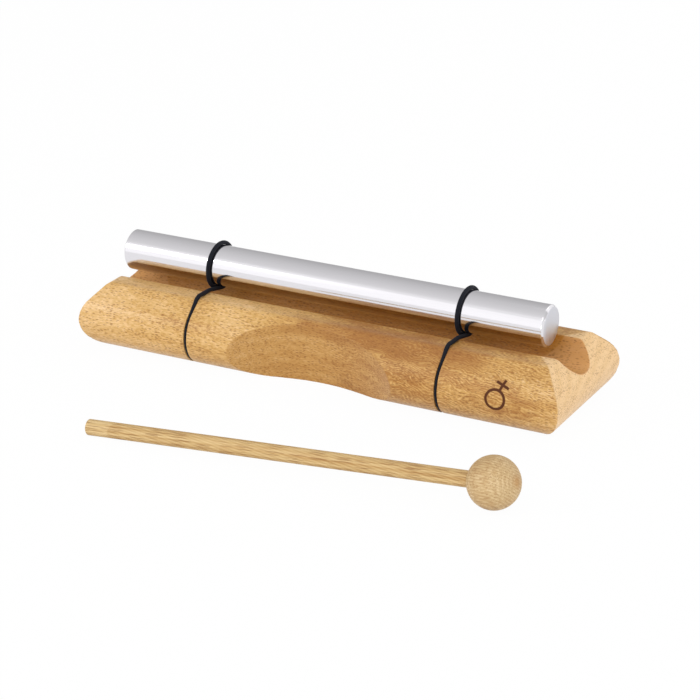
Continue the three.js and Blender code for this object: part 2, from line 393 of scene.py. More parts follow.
@dataclass(frozen=True)
class WoodGrain:
    """Solid wood in millimetres, its grain along X. The fields are what all the woods share."""

    drift: Noise = Noise((0.014, 0.03, 0.03), 2.0)
    warp: Noise = Noise((0.075, 0.13, 0.13), 2.0)
    swirl: Noise = Noise((0.22, 0.4, 0.4), 1.0)
    blotch: Noise = Noise((0.028, 0.075, 0.075), 3.0, 0.55)
    patch: Noise = Noise((0.055, 0.24, 0.24), 4.0, 0.6)
    crowd: Noise = Noise((0.06, 0.12, 0.12), 2.0)
    streak_detail: float = 5.0
    streak_roughness: float = 0.62
    swirl_share: float = 0.4
    curl_waves: Triple = (1.0, 3.4, 4.2)
    mitre_slope: float = 0.82
    mitre_softness: float = 0.6
    end_streaks: float = 0.5
    outer_tone_and_highlight: float = 0.12
    end_tone_and_painted_light: float = 0.14
    band_streaks: float = 1.2
    band_patches: float = 1.4
    band_edge: Pair = (-1.0, -0.1)
    band_light: float = -0.14
    band_mottle: tuple[float, ...] = (0.4, 0.6, 0.05, 0.95)
    patch_edge: Pair = (0.47, 0.75)
    heart_stain: float = 0.7
    pore_crowd: Pair = (0.6, 1.3)
    pore_size: float = 0.52
    pore_edge: float = 0.16
    pore_depth: float = 0.4
    streak_height: float = 0.6

    def group(self) -> Tree:
        """Makes the group.

        Returns:
            A group that gives Tone, the wood's lightness from 0 to 1 with painted light in its paler ends,
            Stain, its brown patches,
            Fleck, its dark pores, and Height for a Bump node.
        """
        nodes, given = new_group(
            "wood grain", "ShaderNodeTree",
            {"Vector": ORIGIN, "Pith": (0.0, 60.0, -130.0), "Ring width": 6.0, "Ring share": 0.08,
             "Heart size": 0.1, "Half length": 1000.0, "Half width": 1000.0,
             "Streak cells": (0.42, 1.5, 1.5), "Streak share": 1.1, "Blotch share": 0.6,
             "Stain share": 0.7, "Figure place": 0.0, "Figure core": 1000.0,
             "Figure reach": 1001.0, "Figure light": 0.0, "Band place": (0.0, 0.0, 10000.0),
             "Band size": (1.0, 1.0, 1.0), "Drift": 5.0, "Curl": 9.0, "Curl share": 0.10,
             "Fleck cells": (0.5, 1.8, 1.8), "Fleck share": 0.6},
            dict.fromkeys(("Tone", "Stain", "Fleck", "Height"), SocketKind.NUMBER))
        x, y, _ = given["Vector"].parts()
        along = abs(x)
        end_grain = self._end_grain(given, along, abs(y))
        long_grain = 1.0 - end_grain
        off_figure = abs(x - given["Figure place"])
        figured = off_figure.span(given["Figure core"], given["Figure reach"], 1.0, 0.0) * long_grain
        curled = figured * given["Curl"]
        drifted = self.drift.push(given["Vector"], given["Drift"])
        warped = self.warp.push(drifted, curled)
        swirled = self.swirl.push(warped, curled * self.swirl_share)

        streak = Noise(given["Streak cells"], self.streak_detail, self.streak_roughness).of(swirled)["Fac"]
        patch = self.patch.of(warped)["Fac"]
        radial = ((warped - given["Pith"]) * WITHOUT_X).length()
        band = self._band(given, warped, streak, patch)
        ring = (radial / given["Ring width"] * FULL).sine()
        ring_light = ring * given["Ring share"] * HALF
        streak_share = given["Streak share"] * end_grain.span(0.0, 1.0, 1.0, self.end_streaks)
        streak_light = (streak - HALF) * streak_share
        blotch_light = (self.blotch.of(drifted)["Fac"] - HALF) * (given["Blotch share"] * long_grain)
        # Paler towards the block's ends: partly the wood's own tone, partly a painted highlight on the long
        # faces' ends and painted light on the end faces.
        outer = (along / given["Half length"]) ** 2.0
        pale_tone_and_painted_light = outer.times_plus(self.outer_tone_and_highlight, end_grain * self.end_tone_and_painted_light)
        waves = nodes.vector("DOT_PRODUCT", warped, self.curl_waves).sine()
        curl_light = waves * figured * given["Curl share"]
        tone = ring_light + streak_light + blotch_light + pale_tone_and_painted_light + (curl_light + HALF)
        tone = band.times_plus(self.band_light, tone)
        tone = figured.times_plus(given["Figure light"], tone, clamp=True)

        stain = patch.span(*self.patch_edge) * given["Stain share"]
        heart = radial.span(0.0, given["Heart size"], self.heart_stain, 0.0)
        stain = (stain * figured).larger(heart).larger(band * streak.span(*self.band_mottle))
        pore = self._pore(given, drifted)
        height = pore.times_plus(-self.pore_depth, streak * self.streak_height)
        nodes.add("NodeGroupOutput", {"Tone": tone, "Stain": stain,
                                      "Fleck": pore * given["Fleck share"], "Height": height})
        return nodes.tree

    def _end_grain(self, given: Outputs, along: Value, aside: Value) -> Value:
        """Tells the block's ends, which show end grain, from its long sides.

        Args:
            given: the group's inputs.
            along: distance from the middle along X.
            aside: distance from the middle along Y.

        Returns:
            A mask, from 0 on the long sides to 1 on the ends, with a slanting border between.
        """
        to_end = given["Half length"] - along
        to_side = given["Half width"] - aside
        lead = to_side.times_plus(self.mitre_slope, to_end * -1.0)
        return lead.span(-self.mitre_softness, self.mitre_softness)

    def _band(self, given: Outputs, warped: Value, streak: Value, patch: Value) -> Value:
        """Marks a long brown streak with uneven edges.

        Args:
            given: the group's inputs.
            warped: the place, pushed by the figure.
            streak: the streaks' pattern.
            patch: the patches' pattern.

        Returns:
            A mask, 1 inside the streak.
        """
        reach = ((warped - given["Band place"]) / given["Band size"]).length()
        uneven = streak.times_plus(self.band_streaks, patch * self.band_patches)
        return 1.0 - (reach - uneven).span(*self.band_edge)

    def _pore(self, given: Outputs, drifted: Value) -> Value:
        """Scatters pores of several sizes, more in some places than in others.

        Args:
            given: the group's inputs.
            drifted: the place, pushed a little.

        Returns:
            A mask, 1 inside a pore.
        """
        cell = given.nodes.add("ShaderNodeTexVoronoi",
                               {"Vector": drifted * given["Fleck cells"], "Scale": 1.0})
        chosen, _, _ = cell["Color"].parts()
        crowd = self.crowd.of(given["Vector"])["Fac"]
        size = (chosen + crowd).span(*self.pore_crowd, 0.0, self.pore_size, smooth=False)
        return (size - cell["Distance"]).span(0.0, self.pore_edge)


def handling_group() -> Tree:
    """Makes a soft mottling that breaks up an even roughness.

    Returns:
        A group that gives Roughness around a middle value.
    """
    nodes, given = new_group("handling", "ShaderNodeTree", {"Vector": ORIGIN, "Middle": 0.5, "Swing": 0.1},
                             {"Roughness": SocketKind.NUMBER})
    smear = Noise((0.06, 0.11, 0.11), 4.0, 0.6).of(given["Vector"])["Fac"]
    nodes.add("NodeGroupOutput", {"Roughness": given["Middle"] + (smear - HALF) * given["Swing"]})
    return nodes.tree


@dataclass(frozen=True)
class SharedGroups:
    """The shader groups that several materials use."""

    grain: Tree
    handling: Tree


# Finishes.


@dataclass(frozen=True)
class Sign:
    """A traditional planet sign, a ring under a cross, burned in the base's round lower edge."""

    edge_span: float
    edge_radius: float
    along: float = 96.2
    up: float = 2.2
    tilt: float = math.radians(21)
    ring_radius: float = 4.55
    stroke: float = 1.3
    stem_end: float = 10.4
    cross_place: float = 7.65
    cross_half: float = 3.5
    softness: float = 0.16
    ragged: Noise = Noise((2.2, 2.2, 2.2), 2.0)
    raggedness: float = 0.25
    depth: float = 4.0
    colour: Colour = linear(82, 43, 19)

    def mask(self, where: Value) -> Value:
        """Draws the sign on the front, unrolled along the round edge.

        Args:
            where: coordinates in millimetres.

        Returns:
            A mask, from 0 on bare wood to 1 in the sign's strokes.
        """
        nodes = where.nodes
        x, y, z = where.parts()
        outwards = y.times_plus(-1.0, -self.edge_span)
        angle = nodes.math("ARCTAN2", z - self.edge_radius, outwards)
        flat = nodes.join(X=x - self.along, Y=angle.times_plus(self.edge_radius, -self.up))
        tilted = nodes.add("ShaderNodeMapping", {"Vector": flat, "Rotation": (0.0, 0.0, self.tilt)})[0]
        aside, up, _ = tilted.parts()
        half = self.stroke / 2
        middle, reach = (self.stem_end + self.ring_radius) / 2, (self.stem_end - self.ring_radius) / 2
        ring = tilted.length().outside(self.ring_radius, half)
        stem = aside.outside(0.0, half).larger(up.outside(middle, reach))
        cross = aside.outside(0.0, self.cross_half).larger(up.outside(self.cross_place, half))
        ragged = self.ragged.of(where)["Fac"] - HALF
        nearest = ragged.times_plus(self.raggedness, ring.smaller(stem.smaller(cross)))
        on_front = nodes.math("LESS_THAN", y, 0.0)
        return nearest.span(-self.softness, self.softness, 1.0, 0.0) * on_front


@dataclass(frozen=True)
class CutWood:
    """Browner wood, bared where the channel and the finger hollows are cut into the block; the channel's tint
    also holds painted shade.
    """

    channel_radius: float
    channel_height: float
    grip_radius: float
    grip_span: float
    grip_height: float
    grip_lean: float
    channel_edge: Pair = (0.1, 0.5)
    channel_wood_and_shade_share: float = 0.7
    channel_wood_and_shade_colour: Colour = linear(182, 115, 24)
    grip_edge: Pair = (0.08, 0.4)
    grip_share: float = 0.4
    grip_colour: Colour = linear(170, 120, 54)

    def tint(self, where: Value, colour: Value) -> Value:
        """Mixes the cuts' colour, with painted shade in the channel, into the wood's.

        Args:
            where: coordinates in millimetres.
            colour: the wood's colour.

        Returns:
            The colour with browner cuts and painted shade in the channel.
        """
        nodes = where.nodes
        reach = ((where - (0.0, 0.0, self.channel_height)) * WITHOUT_X).length()
        edge = [self.channel_radius + off for off in self.channel_edge]
        # The channel's tint is partly the wood's own brown and partly painted shade under the bar.
        channel = reach.span(*edge, self.channel_wood_and_shade_share, 0.0)
        x, y, z = where.parts()
        outwards, upwards = abs(y) - self.grip_span, z - self.grip_height
        level = outwards.times_plus(-math.cos(self.grip_lean), self.grip_radius)
        level = upwards.times_plus(math.sin(self.grip_lean), level)
        edge = [self.grip_radius + off for off in self.grip_edge]
        grip = nodes.join(X=x, Y=level).length().span(*edge, self.grip_share, 0.0)
        return nodes.mix(channel, nodes.mix(grip, colour, self.grip_colour), self.channel_wood_and_shade_colour)


@dataclass(frozen=True)
class Wood:
    """A light hardwood, bare or under a thin satin varnish."""

    name: str
    dark: Colour
    middle: Colour
    pale: Colour
    stain: Colour
    fleck: Colour
    figure: dict = field(default_factory=dict)
    ramp_ends: Pair = (0.2, 0.8)
    roughness: float = 0.46
    matt_roughness: float = 0.3
    fleck_matt: float = 0.6
    specular: float = 0.25
    varnish: float = 0.3
    varnish_roughness: float = 0.3
    bump: float = 0.3
    bump_depth: float = 0.1
    turn: Triple = ORIGIN
    centre: Triple = ORIGIN
    cuts: CutWood | None = None
    sign: Sign | None = None

    def material(self, shared: SharedGroups) -> Material:
        """Builds the material.

        Args:
            shared: the shared shader groups.

        Returns:
            The new material.
        """
        made, nodes = new_material(self.name)
        where = own_place(nodes, self.turn, self.centre)
        figure = nodes.add("ShaderNodeGroup", {"Vector": where, **self.figure}, node_tree=shared.grain)
        rough = nodes.add("ShaderNodeGroup", {"Vector": where, "Middle": self.roughness},
                          node_tree=shared.handling)
        colour = nodes.mix(figure["Stain"], self._ramp(figure["Tone"]), self.stain)
        if self.cuts:
            colour = self.cuts.tint(where, colour)
        colour = nodes.mix(figure["Fleck"], colour, self.fleck)
        matt, height = figure["Fleck"] * self.fleck_matt, figure["Height"]
        if self.sign:
            burn = self.sign.mask(where)
            colour = nodes.mix(burn, colour, self.sign.colour)
            matt, height = matt.larger(burn), burn.times_plus(-self.sign.depth, height)
        nodes.surface({
            "Base Color": colour, "Roughness": matt.times_plus(self.matt_roughness, rough["Roughness"]),
            "Normal": nodes.bump(height, self.bump, self.bump_depth), "Specular IOR Level": self.specular,
            "Coat Weight": matt.times_plus(-self.varnish, self.varnish),
            "Coat Roughness": self.varnish_roughness})
        return made

    def _ramp(self, tone: Value) -> Value:
        """Turns a lightness into the wood's colours.

        Args:
            tone: the lightness, 0 to 1.

        Returns:
            A colour between dark, middle and pale.
        """
        ramp = tone.nodes.add("ShaderNodeValToRGB", {"Fac": tone})
        stops = ramp.node.color_ramp.elements
        stops[0].position, stops[1].position = self.ramp_ends
        stops[0].color, stops[1].color = self.dark, self.pale
        stops.new(HALF).color = self.middle
        return ramp["Color"]


@dataclass(frozen=True)
class PolishedMetal:
    """Drawn and polished aluminium rod with lathe-faced ends."""

    end_place: float
    centre: Triple
    name: str = "polished rod"
    colour: Colour = linear(228, 226, 230)
    end_colour: Colour = linear(206, 206, 212)
    roughness: float = 0.12
    end_roughness: float = 0.36
    swing: float = 0.05
    drawing: Noise = Noise((0.012, 5.0, 5.0), 3.0)
    drawing_share: float = 0.3
    turning_cells: float = 3.0
    turning_detail: float = 3.0
    bump: float = 0.1
    bump_depth: float = 0.05

    def material(self, shared: SharedGroups) -> Material:
        """Builds the material.

        Args:
            shared: the shared shader groups.

        Returns:
            The new material, with drawing lines along the rod and turning lines on its ends.
        """
        made, nodes = new_material(self.name)
        where = own_place(nodes, centre=self.centre)
        x, y, z = where.parts()
        on_end = nodes.math("GREATER_THAN", abs(x), self.end_place)
        rings = nodes.join(Y=y, Z=z).length() * self.turning_cells
        turning = nodes.add("ShaderNodeTexNoise", {"W": rings, "Scale": 1.0, "Detail": self.turning_detail},
                            noise_dimensions="1D")["Fac"]
        lines = self.drawing.of(where)["Fac"] * self.drawing_share + turning * on_end
        rough = nodes.add("ShaderNodeGroup", {"Vector": where, "Middle": self.roughness, "Swing": self.swing},
                          node_tree=shared.handling)
        nodes.surface({
            "Base Color": nodes.mix(on_end, self.colour, self.end_colour), "Metallic": 1.0,
            "Roughness": rough["Roughness"] + on_end * (self.end_roughness - self.roughness),
            "Normal": nodes.bump(lines, self.bump, self.bump_depth)})
        return made


@dataclass(frozen=True)
class BraidedElastic:
    """Dark braided sleeve over an elastic core."""

    name: str = "braided elastic"
    deep: Colour = linear(5, 7, 14)
    crown_wear_and_sheen: Colour = linear(19, 27, 46)
    fibre: Noise = Noise((3.5, 3.5, 3.5), 3.0)
    fibre_edge: Pair = (0.3, 0.7)
    roughness: float = 0.78
    specular: float = 0.25
    sheen: float = 0.05
    sheen_roughness: float = 0.4
    bump: float = 0.3
    bump_depth: float = 0.1

    def material(self) -> Material:
        """Builds the material.

        Returns:
            The new material, lighter on the crowns of the braid, for worn fibres and a painted sheen.
        """
        made, nodes = new_material(self.name)
        crown = nodes.add("ShaderNodeAttribute", attribute_name="crown")["Fac"]
        fibre = self.fibre.of(own_place(nodes))["Fac"]
        nodes.surface({
            # The crowns' lighter colour is partly wear and partly painted sheen.
            "Base Color": nodes.mix(crown * fibre.span(*self.fibre_edge), self.deep, self.crown_wear_and_sheen),
            "Roughness": self.roughness, "Normal": nodes.bump(fibre, self.bump, self.bump_depth),
            "Sheen Weight": self.sheen, "Sheen Roughness": self.sheen_roughness,
            "Specular IOR Level": self.specular})
        return made


# Meshes.


def linked(name: str, data: bpy.types.ID) -> Thing:
    """Makes an object from its data and links it to the scene.

    Args:
        name: the object's name.
        data: its mesh, camera or lamp.

    Returns:
        The object.
    """
    made = bpy.data.objects.new(name, data)
    bpy.context.scene.collection.objects.link(made)
    return made


def mesh_object(name: str, vertices: Array, faces: Iterable, material: Material,
                crease: float | None = None) -> Thing:
    """Makes a smooth object at the origin from vertices in millimetres.

    Args:
        name: the piece's name.
        vertices: one row of X, Y and Z for each vertex.
        faces: the vertex numbers of each face, facing out.
        material: the piece's material.
        crease: the angle past which an edge stays sharp, or None.

    Returns:
        The object.
    """
    mesh = bpy.data.meshes.new(name)
    mesh.from_pydata((np.asarray(vertices, float) * MM).tolist(), [], [tuple(map(int, f)) for f in faces])
    mesh.update()
    mesh.polygons.foreach_set("use_smooth", [True] * len(mesh.polygons))
    mesh.materials.append(material)
    if crease is not None:
        mesh.set_sharp_from_angle(angle=crease)
    return linked(name, mesh)


def fit(made: Thing, node: str, slot: Slot, body: Body | None = None) -> Thing:
    """Puts a piece in the place of its CAD node.

    Args:
        made: the piece.
        node: the CAD node that it stands for.
        slot: the record's material slot; not used.
        body: the body that it rides on, or None to attach it to no body.

    Returns:
        The same piece.
    """
    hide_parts(node)
    if body:
        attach(made, body.value)
    return made


def turned(profile: Sequence[Pair], sides: int) -> tuple[Array, list]:
    """Turns a profile round the X axis.

    Args:
        profile: places along X and radii, from one end on the axis to the other, X rising.
        sides: facets round the axis.

    Returns:
        Vertices and outward faces. Each end on the axis is one closing point.
    """
    angles = np.arange(sides) / sides * FULL
    inner = profile[1:-1]
    rings = [np.stack([np.full(sides, x), r * np.cos(angles), r * np.sin(angles)], 1) for x, r in inner]
    vertices = np.vstack([*rings, [[profile[0][0], 0, 0]], [[profile[-1][0], 0, 0]]])
    first, last = len(inner) * sides, len(inner) * sides + 1
    top = (len(inner) - 1) * sides
    steps = [(k, (k + 1) % sides) for k in range(sides)]
    faces = [(a + k, a + sides + k, a + sides + n, a + n) for a in range(0, top, sides) for k, n in steps]
    for k, n in steps:
        faces += [(first, k, n), (last, top + n, top + k)]
    return vertices, faces


def arc(centre: Pair, radius: float, start: float, end: float, count: int) -> list[Pair]:
    """Gives points on an arc.

    Args:
        centre: the arc's centre.
        radius: the arc's radius.
        start: the first point's angle.
        end: the last point's angle.
        count: the number of steps between points.

    Returns:
        The points, one more than the steps.
    """
    angles = np.linspace(start, end, count + 1)
    return [(centre[0] + radius * math.cos(a), centre[1] + radius * math.sin(a)) for a in angles]


def smooth_max(a: Array, b: Array, width: Array | float) -> Array:
    """Joins two distance fields as an intersection whose edge is rounded over width."""
    width = np.maximum(width, TINY)
    return np.maximum(a, b) + np.maximum(width - np.abs(a - b), 0) ** 2 / (4 * width)


def grid_lines(low: float, high: float, step: float, fine: Sequence[Triple]) -> Array:
    """Lays grid lines a step apart, with closer ones in some stretches.

    Args:
        low: the first line's place.
        high: a place that the lines reach.
        step: the distance between lines.
        fine: each closer stretch's start, end and step.

    Returns:
        The lines' places, rising.
    """
    places = np.arange(low, high + step, step)
    for start, end, close in fine:
        places = places[(places < start - close) | (places > end + close)]
        places = np.concatenate([places, np.arange(start, end + close / 2, close)])
    return np.sort(places)


@dataclass(frozen=True)
class SurfaceNet:
    """Wraps a distance field's zero level in four-sided faces that keep its creases."""

    distance: Callable[[Array, Array, Array], Array]
    axes: Sequence[Array]
    halvings: int = 12
    probe: float = 0.01
    weak: float = 0.03

    def wrap(self) -> tuple[Array, Array]:
        """Wraps the level with one vertex in each grid cell that it crosses.

        Returns:
            Vertices and outward faces.
        """
        grid = np.meshgrid(*self.axes, indexing="ij")
        inside = self.distance(*grid) < 0
        cells = tuple(n - 1 for n in inside.shape)
        fit_sum, pull_sum = np.zeros(cells + (3, 3)), np.zeros(cells + (3,))
        point_sum, count = np.zeros(cells + (3,)), np.zeros(cells)
        crossings = []
        for axis in range(3):
            low, high = [slice(None)] * 3, [slice(None)] * 3
            low[axis], high[axis] = slice(0, -1), slice(1, None)
            low, high = tuple(low), tuple(high)
            cross = inside[low] != inside[high]
            where, rising = np.argwhere(cross), inside[low][cross]
            points = self._crossings(axis, [g[low][cross] for g in grid], grid[axis][high][cross], rising)
            normals = self._normals(points)
            others = [(axis + 1) % 3, (axis + 2) % 3]
            for step in ((0, 0), (1, 0), (1, 1), (0, 1)):
                cell = self._neighbour(where, others, step)
                held = np.all((cell >= 0) & (cell < cells), 1)
                key = tuple(cell[held].T)
                n, p = normals[held], points[held]
                np.add.at(fit_sum, key, n[:, :, None] * n[:, None, :])
                np.add.at(pull_sum, key, n * (n * p).sum(1, keepdims=True))
                np.add.at(point_sum, key, p)
                np.add.at(count, key, 1)
            crossings.append((others, where, rising))
        active = count > 0
        middle = point_sum[active] / count[active][:, None]
        vertices = self._vertices(active, fit_sum[active], pull_sum[active], middle)
        return vertices, self._faces(active, crossings)

    def _crossings(self, axis: int, start: Sequence[Array], stop: Array, rising: Array) -> Array:
        """Finds where grid edges cross the zero level, by halving.

        Args:
            axis: the edges' direction.
            start: the edges' lower ends.
            stop: the upper ends' places along the axis.
            rising: whether the lower end is the inner one.

        Returns:
            One point for each edge.
        """
        points = np.stack(start, 1)
        low, high = points[:, axis].copy(), stop.copy()
        for _ in range(self.halvings):
            points[:, axis] = (low + high) / 2
            first = (self.distance(*points.T) < 0) == rising
            low = np.where(first, points[:, axis], low)
            high = np.where(first, high, points[:, axis])
        points[:, axis] = (low + high) / 2
        return points

    def _normals(self, points: Array) -> Array:
        """Finds the surface's direction at points on it, by central differences.

        Args:
            points: one row for each point.

        Returns:
            One unit vector for each point.
        """
        slope = np.zeros_like(points)
        for axis in range(3):
            ahead, behind = points.copy(), points.copy()
            ahead[:, axis] += self.probe
            behind[:, axis] -= self.probe
            slope[:, axis] = (self.distance(*ahead.T) - self.distance(*behind.T)) / (2 * self.probe)
        return slope / np.maximum(np.linalg.norm(slope, axis=1, keepdims=True), TINY)

    @staticmethod
    def _neighbour(where: Array, others: Sequence[int], step: tuple[int, int]) -> Array:
        """Finds the cells that lie a step back from edges.

        Args:
            where: the edges' grid numbers.
            others: the two axes across the edges.
            step: steps back along these two axes.

        Returns:
            The cells' grid numbers.
        """
        cell = where.copy()
        cell[:, others[0]] -= step[0]
        cell[:, others[1]] -= step[1]
        return cell

    def _vertices(self, active: Array, fits: Array, pulls: Array, middle: Array) -> Array:
        """Places each cell's vertex where the planes through its crossings meet.

        Args:
            active: which cells the level crosses.
            fits: the sums of the planes' matrices.
            pulls: the sums of the planes' pulls.
            middle: the middles of the crossings, which pull weakly.

        Returns:
            One vertex for each active cell, kept inside it.
        """
        matrices = fits + self.weak * np.eye(3)
        vertices = np.linalg.solve(matrices, (pulls + self.weak * middle)[:, :, None])[:, :, 0]
        places = np.argwhere(active)
        floor = np.stack([self.axes[d][places[:, d]] for d in range(3)], 1)
        ceiling = np.stack([self.axes[d][places[:, d] + 1] for d in range(3)], 1)
        return np.clip(vertices, floor, ceiling)

    def _faces(self, active: Array, crossings: Sequence[tuple]) -> Array:
        """Joins the four cells round each crossed edge.

        Args:
            active: which cells the level crosses.
            crossings: for each axis, the axes across it, the edges, and whether they rise.

        Returns:
            One outward face for each crossed edge.
        """
        index = np.full(active.shape, -1)
        index[active] = np.arange(active.sum())
        faces = []
        for others, where, rising in crossings:
            cells = [self._neighbour(where, others, step) for step in ((1, 1), (0, 1), (0, 0), (1, 0))]
            quads = np.stack([index[tuple(cell.T)] for cell in cells], 1)
            quads[~rising] = quads[~rising][:, ::-1]
            faces.append(quads)
        return np.vstack(faces)


# Wooden base.


@dataclass(frozen=True)
class Moulding:
    """Half outline of a moulding: round lower edge, face leaning inwards, round crest."""

    half_span: float
    low: float
    high: float
    edge_radius: float
    lean: float
    crest_radius: float

    @property
    def edge(self) -> Pair:
        """Centre of the lower edge's arc, as span and height."""
        return self.half_span - self.edge_radius, self.low + self.edge_radius

    @property
    def edge_out(self) -> Pair:
        """Point where the lower edge's arc runs into the leaning face."""
        return self._on(self.edge, self.edge_radius)

    @property
    def crest(self) -> Pair:
        """Centre of the crest's arc.

        Returns:
            Its span and height.
        """
        height = self.high - self.crest_radius
        span, out_height = self.edge_out
        span -= (height - out_height) * math.tan(self.lean) + self.crest_radius / math.cos(self.lean)
        return span, height

    @property
    def crest_out(self) -> Pair:
        """Point where the leaning face runs into the crest's arc."""
        return self._on(self.crest, self.crest_radius)

    def _on(self, centre: Pair, radius: float) -> Pair:
        """Finds the point of an arc that touches the leaning face."""
        return centre[0] + radius * math.cos(self.lean), centre[1] + radius * math.sin(self.lean)

    def distance(self, span: Array, height: Array) -> tuple[Array, Array]:
        """Measures from the outline.

        Args:
            span: signed distance from the middle.
            height: height above the table.

        Returns:
            The distance, negative inside, and how far up the nearest face looks, -1 to 1.
        """
        span = np.abs(span)
        face = ((span - self.edge_out[0]) * math.cos(self.lean)
                + (height - self.edge_out[1]) * math.sin(self.lean))
        top, bottom = height - self.high, self.low - height
        result = np.maximum(np.maximum(face, top), bottom)
        up = np.where(face >= np.maximum(top, bottom), math.sin(self.lean), np.where(top > bottom, 1.0, -1.0))
        for centre, radius, start, end in ((self.crest, self.crest_radius, self.lean, QUARTER),
                                           (self.edge, self.edge_radius, -QUARTER, self.lean)):
            aside, above = span - centre[0], height - centre[1]
            reach, angle = np.hypot(aside, above), np.arctan2(above, aside)
            on_arc = (angle >= start) & (angle <= end)
            result = np.where(on_arc, reach - radius, result)
            up = np.where(on_arc, above / np.maximum(reach, TINY), up)
        return result, up


@dataclass(frozen=True)
class WoodenBase:
    """The moulded block with its channel, finger hollows, saw cuts and knot pockets."""

    length: float = 254.0
    width: float = 74.0
    height: float = 32.4
    edge_radius: float = 15.0
    side_lean: float = math.radians(50)
    shoulder_radius: float = 5.5
    end_lean: float = math.radians(41)
    end_crest_radius: float = 4.0
    channel_radius: float = 14.5
    channel_depth: float = 10.0
    grip_radius: float = 78.0
    grip_depth: float = 13.3
    grip_lean: float = math.radians(11.3)
    kerf_place: float = 66.5
    kerf_width: float = 1.7
    kerf_depth: float = 3.0
    pocket_radius: float = 8.0
    pocket_depth: float = 7.0
    corner_softness: float = 0.5
    lip_softness: float = 0.8
    grip_softness: float = 0.4
    cut_softness: float = 0.3
    crease: float = math.radians(18)
    mesh_steps: Triple = (1.35, 1.1, 0.95)
    fine_step: float = 0.4
    cut_step: float = 0.2
    mesh_margin: float = 1.7
    cut_margin: float = 0.7
    lip_margin: float = 1.6
    crest_margins: Pair = (2.0, 0.4)

    @property
    def sides(self) -> Moulding:
        """Outline of the two long sides."""
        return Moulding(self.width / 2, 0.0, self.height, self.edge_radius, self.side_lean,
                        self.shoulder_radius)

    @property
    def ends(self) -> Moulding:
        """Outline of the two ends."""
        return Moulding(self.length / 2, 0.0, self.height, self.edge_radius, self.end_lean,
                        self.end_crest_radius)

    @property
    def cut_floor(self) -> Moulding:
        """Outline of the wood that the saw cuts leave standing."""
        return Moulding(self.width / 2 - self.kerf_depth, self.kerf_depth, self.height,
                        self.edge_radius - self.kerf_depth, self.side_lean, self.shoulder_radius)

    @property
    def channel_height(self) -> float:
        """Height of the channel's axis."""
        return self.height - self.channel_depth + self.channel_radius

    @property
    def kerf_places(self) -> list[float]:
        """Places of the saw cuts along X."""
        return [end.value * self.kerf_place for end in End]

    @property
    def grip_span(self) -> float:
        """Span of the deepest line of a finger hollow."""
        return self.width / 2 - self.grip_depth

    @property
    def lip(self) -> float:
        """Span of the channel's lip."""
        return math.sqrt(self.channel_radius ** 2 - (self.channel_height - self.height) ** 2)

    def distance(self, x: Array, y: Array, z: Array) -> Array:
        """Measures from the base's finished surface.

        Args:
            x: places along X.
            y: places along Y.
            z: heights above the table.

        Returns:
            The distance, negative inside the wood.
        """
        side, side_up = self.sides.distance(y, z)
        end, end_up = self.ends.distance(x, z)
        low_share = np.clip(1 - z / self.edge_radius, 0, 1)
        block = smooth_max(side, end, self.corner_softness * (1 + low_share) * (1 - side_up * end_up))
        cuts = [(self.channel_radius - np.hypot(y, z - self.channel_height), self.lip_softness)]
        cuts += [(self._grip(x, y, z, face), self.grip_softness) for face in (-1, 1)]
        floor, _ = self.cut_floor.distance(y, z)
        for place in self.kerf_places:
            kerf = np.minimum(self.kerf_width / 2 - np.abs(x - place), floor)
            pocket = np.minimum(self.pocket_radius - np.hypot(x - place, y), self.pocket_depth - z)
            cuts += [(kerf, self.cut_softness), (pocket, self.cut_softness)]
        for cut, softness in cuts:
            block = smooth_max(block, cut, softness)
        return block

    def _grip(self, x: Array, y: Array, z: Array, face: int) -> Array:
        """Measures into the leaning cylinder of one finger hollow.

        Args:
            x: places along X.
            y: places along Y.
            z: heights above the table.
            face: -1 for the front, 1 for the back.

        Returns:
            The distance, positive inside the hollow.
        """
        across, up = y - face * self.grip_span, z - self.edge_radius
        turn = -face * self.grip_lean
        level = across * math.cos(turn) + up * math.sin(turn)
        return self.grip_radius - np.hypot(x, level - face * self.grip_radius)

    def _grid(self) -> list[Array]:
        """Lays the grid, closer at the saw cuts, the channel's lips and the crest.

        Returns:
            The places of the grid lines along X, Y and Z.
        """
        cut, lip, margin = self.kerf_width / 2 + self.cut_margin, self.lip_margin, self.mesh_margin
        cuts = [(place - cut, place + cut, self.cut_step) for place in self.kerf_places]
        lips = [(side * self.lip - lip, side * self.lip + lip, self.fine_step) for side in (-1, 1)]
        crest = [(self.height - self.crest_margins[0], self.height + self.crest_margins[1], self.fine_step)]
        half_length, half_width = self.length / 2 + margin, self.width / 2 + margin
        return [grid_lines(-half_length, half_length, self.mesh_steps[0], cuts),
                grid_lines(-half_width, half_width, self.mesh_steps[1], lips),
                grid_lines(-margin, self.height + margin, self.mesh_steps[2], crest)]

    def wood(self) -> Wood:
        """Gives the block's finish: figured to the right, brown in its cuts with painted shade in the
        channel, with the burned sign.

        Returns:
            The finish.
        """
        figure = {"Half length": self.length / 2, "Half width": self.width / 2, "Figure place": 66.0,
                  "Figure core": 38.0, "Figure reach": 88.0, "Figure light": -0.19,
                  "Band place": (38.0, -26.5, 30.0), "Band size": (52.0, 13.0, 7.0)}
        cuts = CutWood(self.channel_radius, self.channel_height, self.grip_radius, self.grip_span,
                       self.edge_radius, self.grip_lean)
        return Wood("base wood", dark=linear(165, 113, 52), middle=linear(202, 159, 92),
                    pale=linear(226, 189, 138), stain=linear(150, 96, 42), fleck=linear(128, 80, 38),
                    figure=figure, cuts=cuts, sign=Sign(self.sides.edge[0], self.edge_radius))

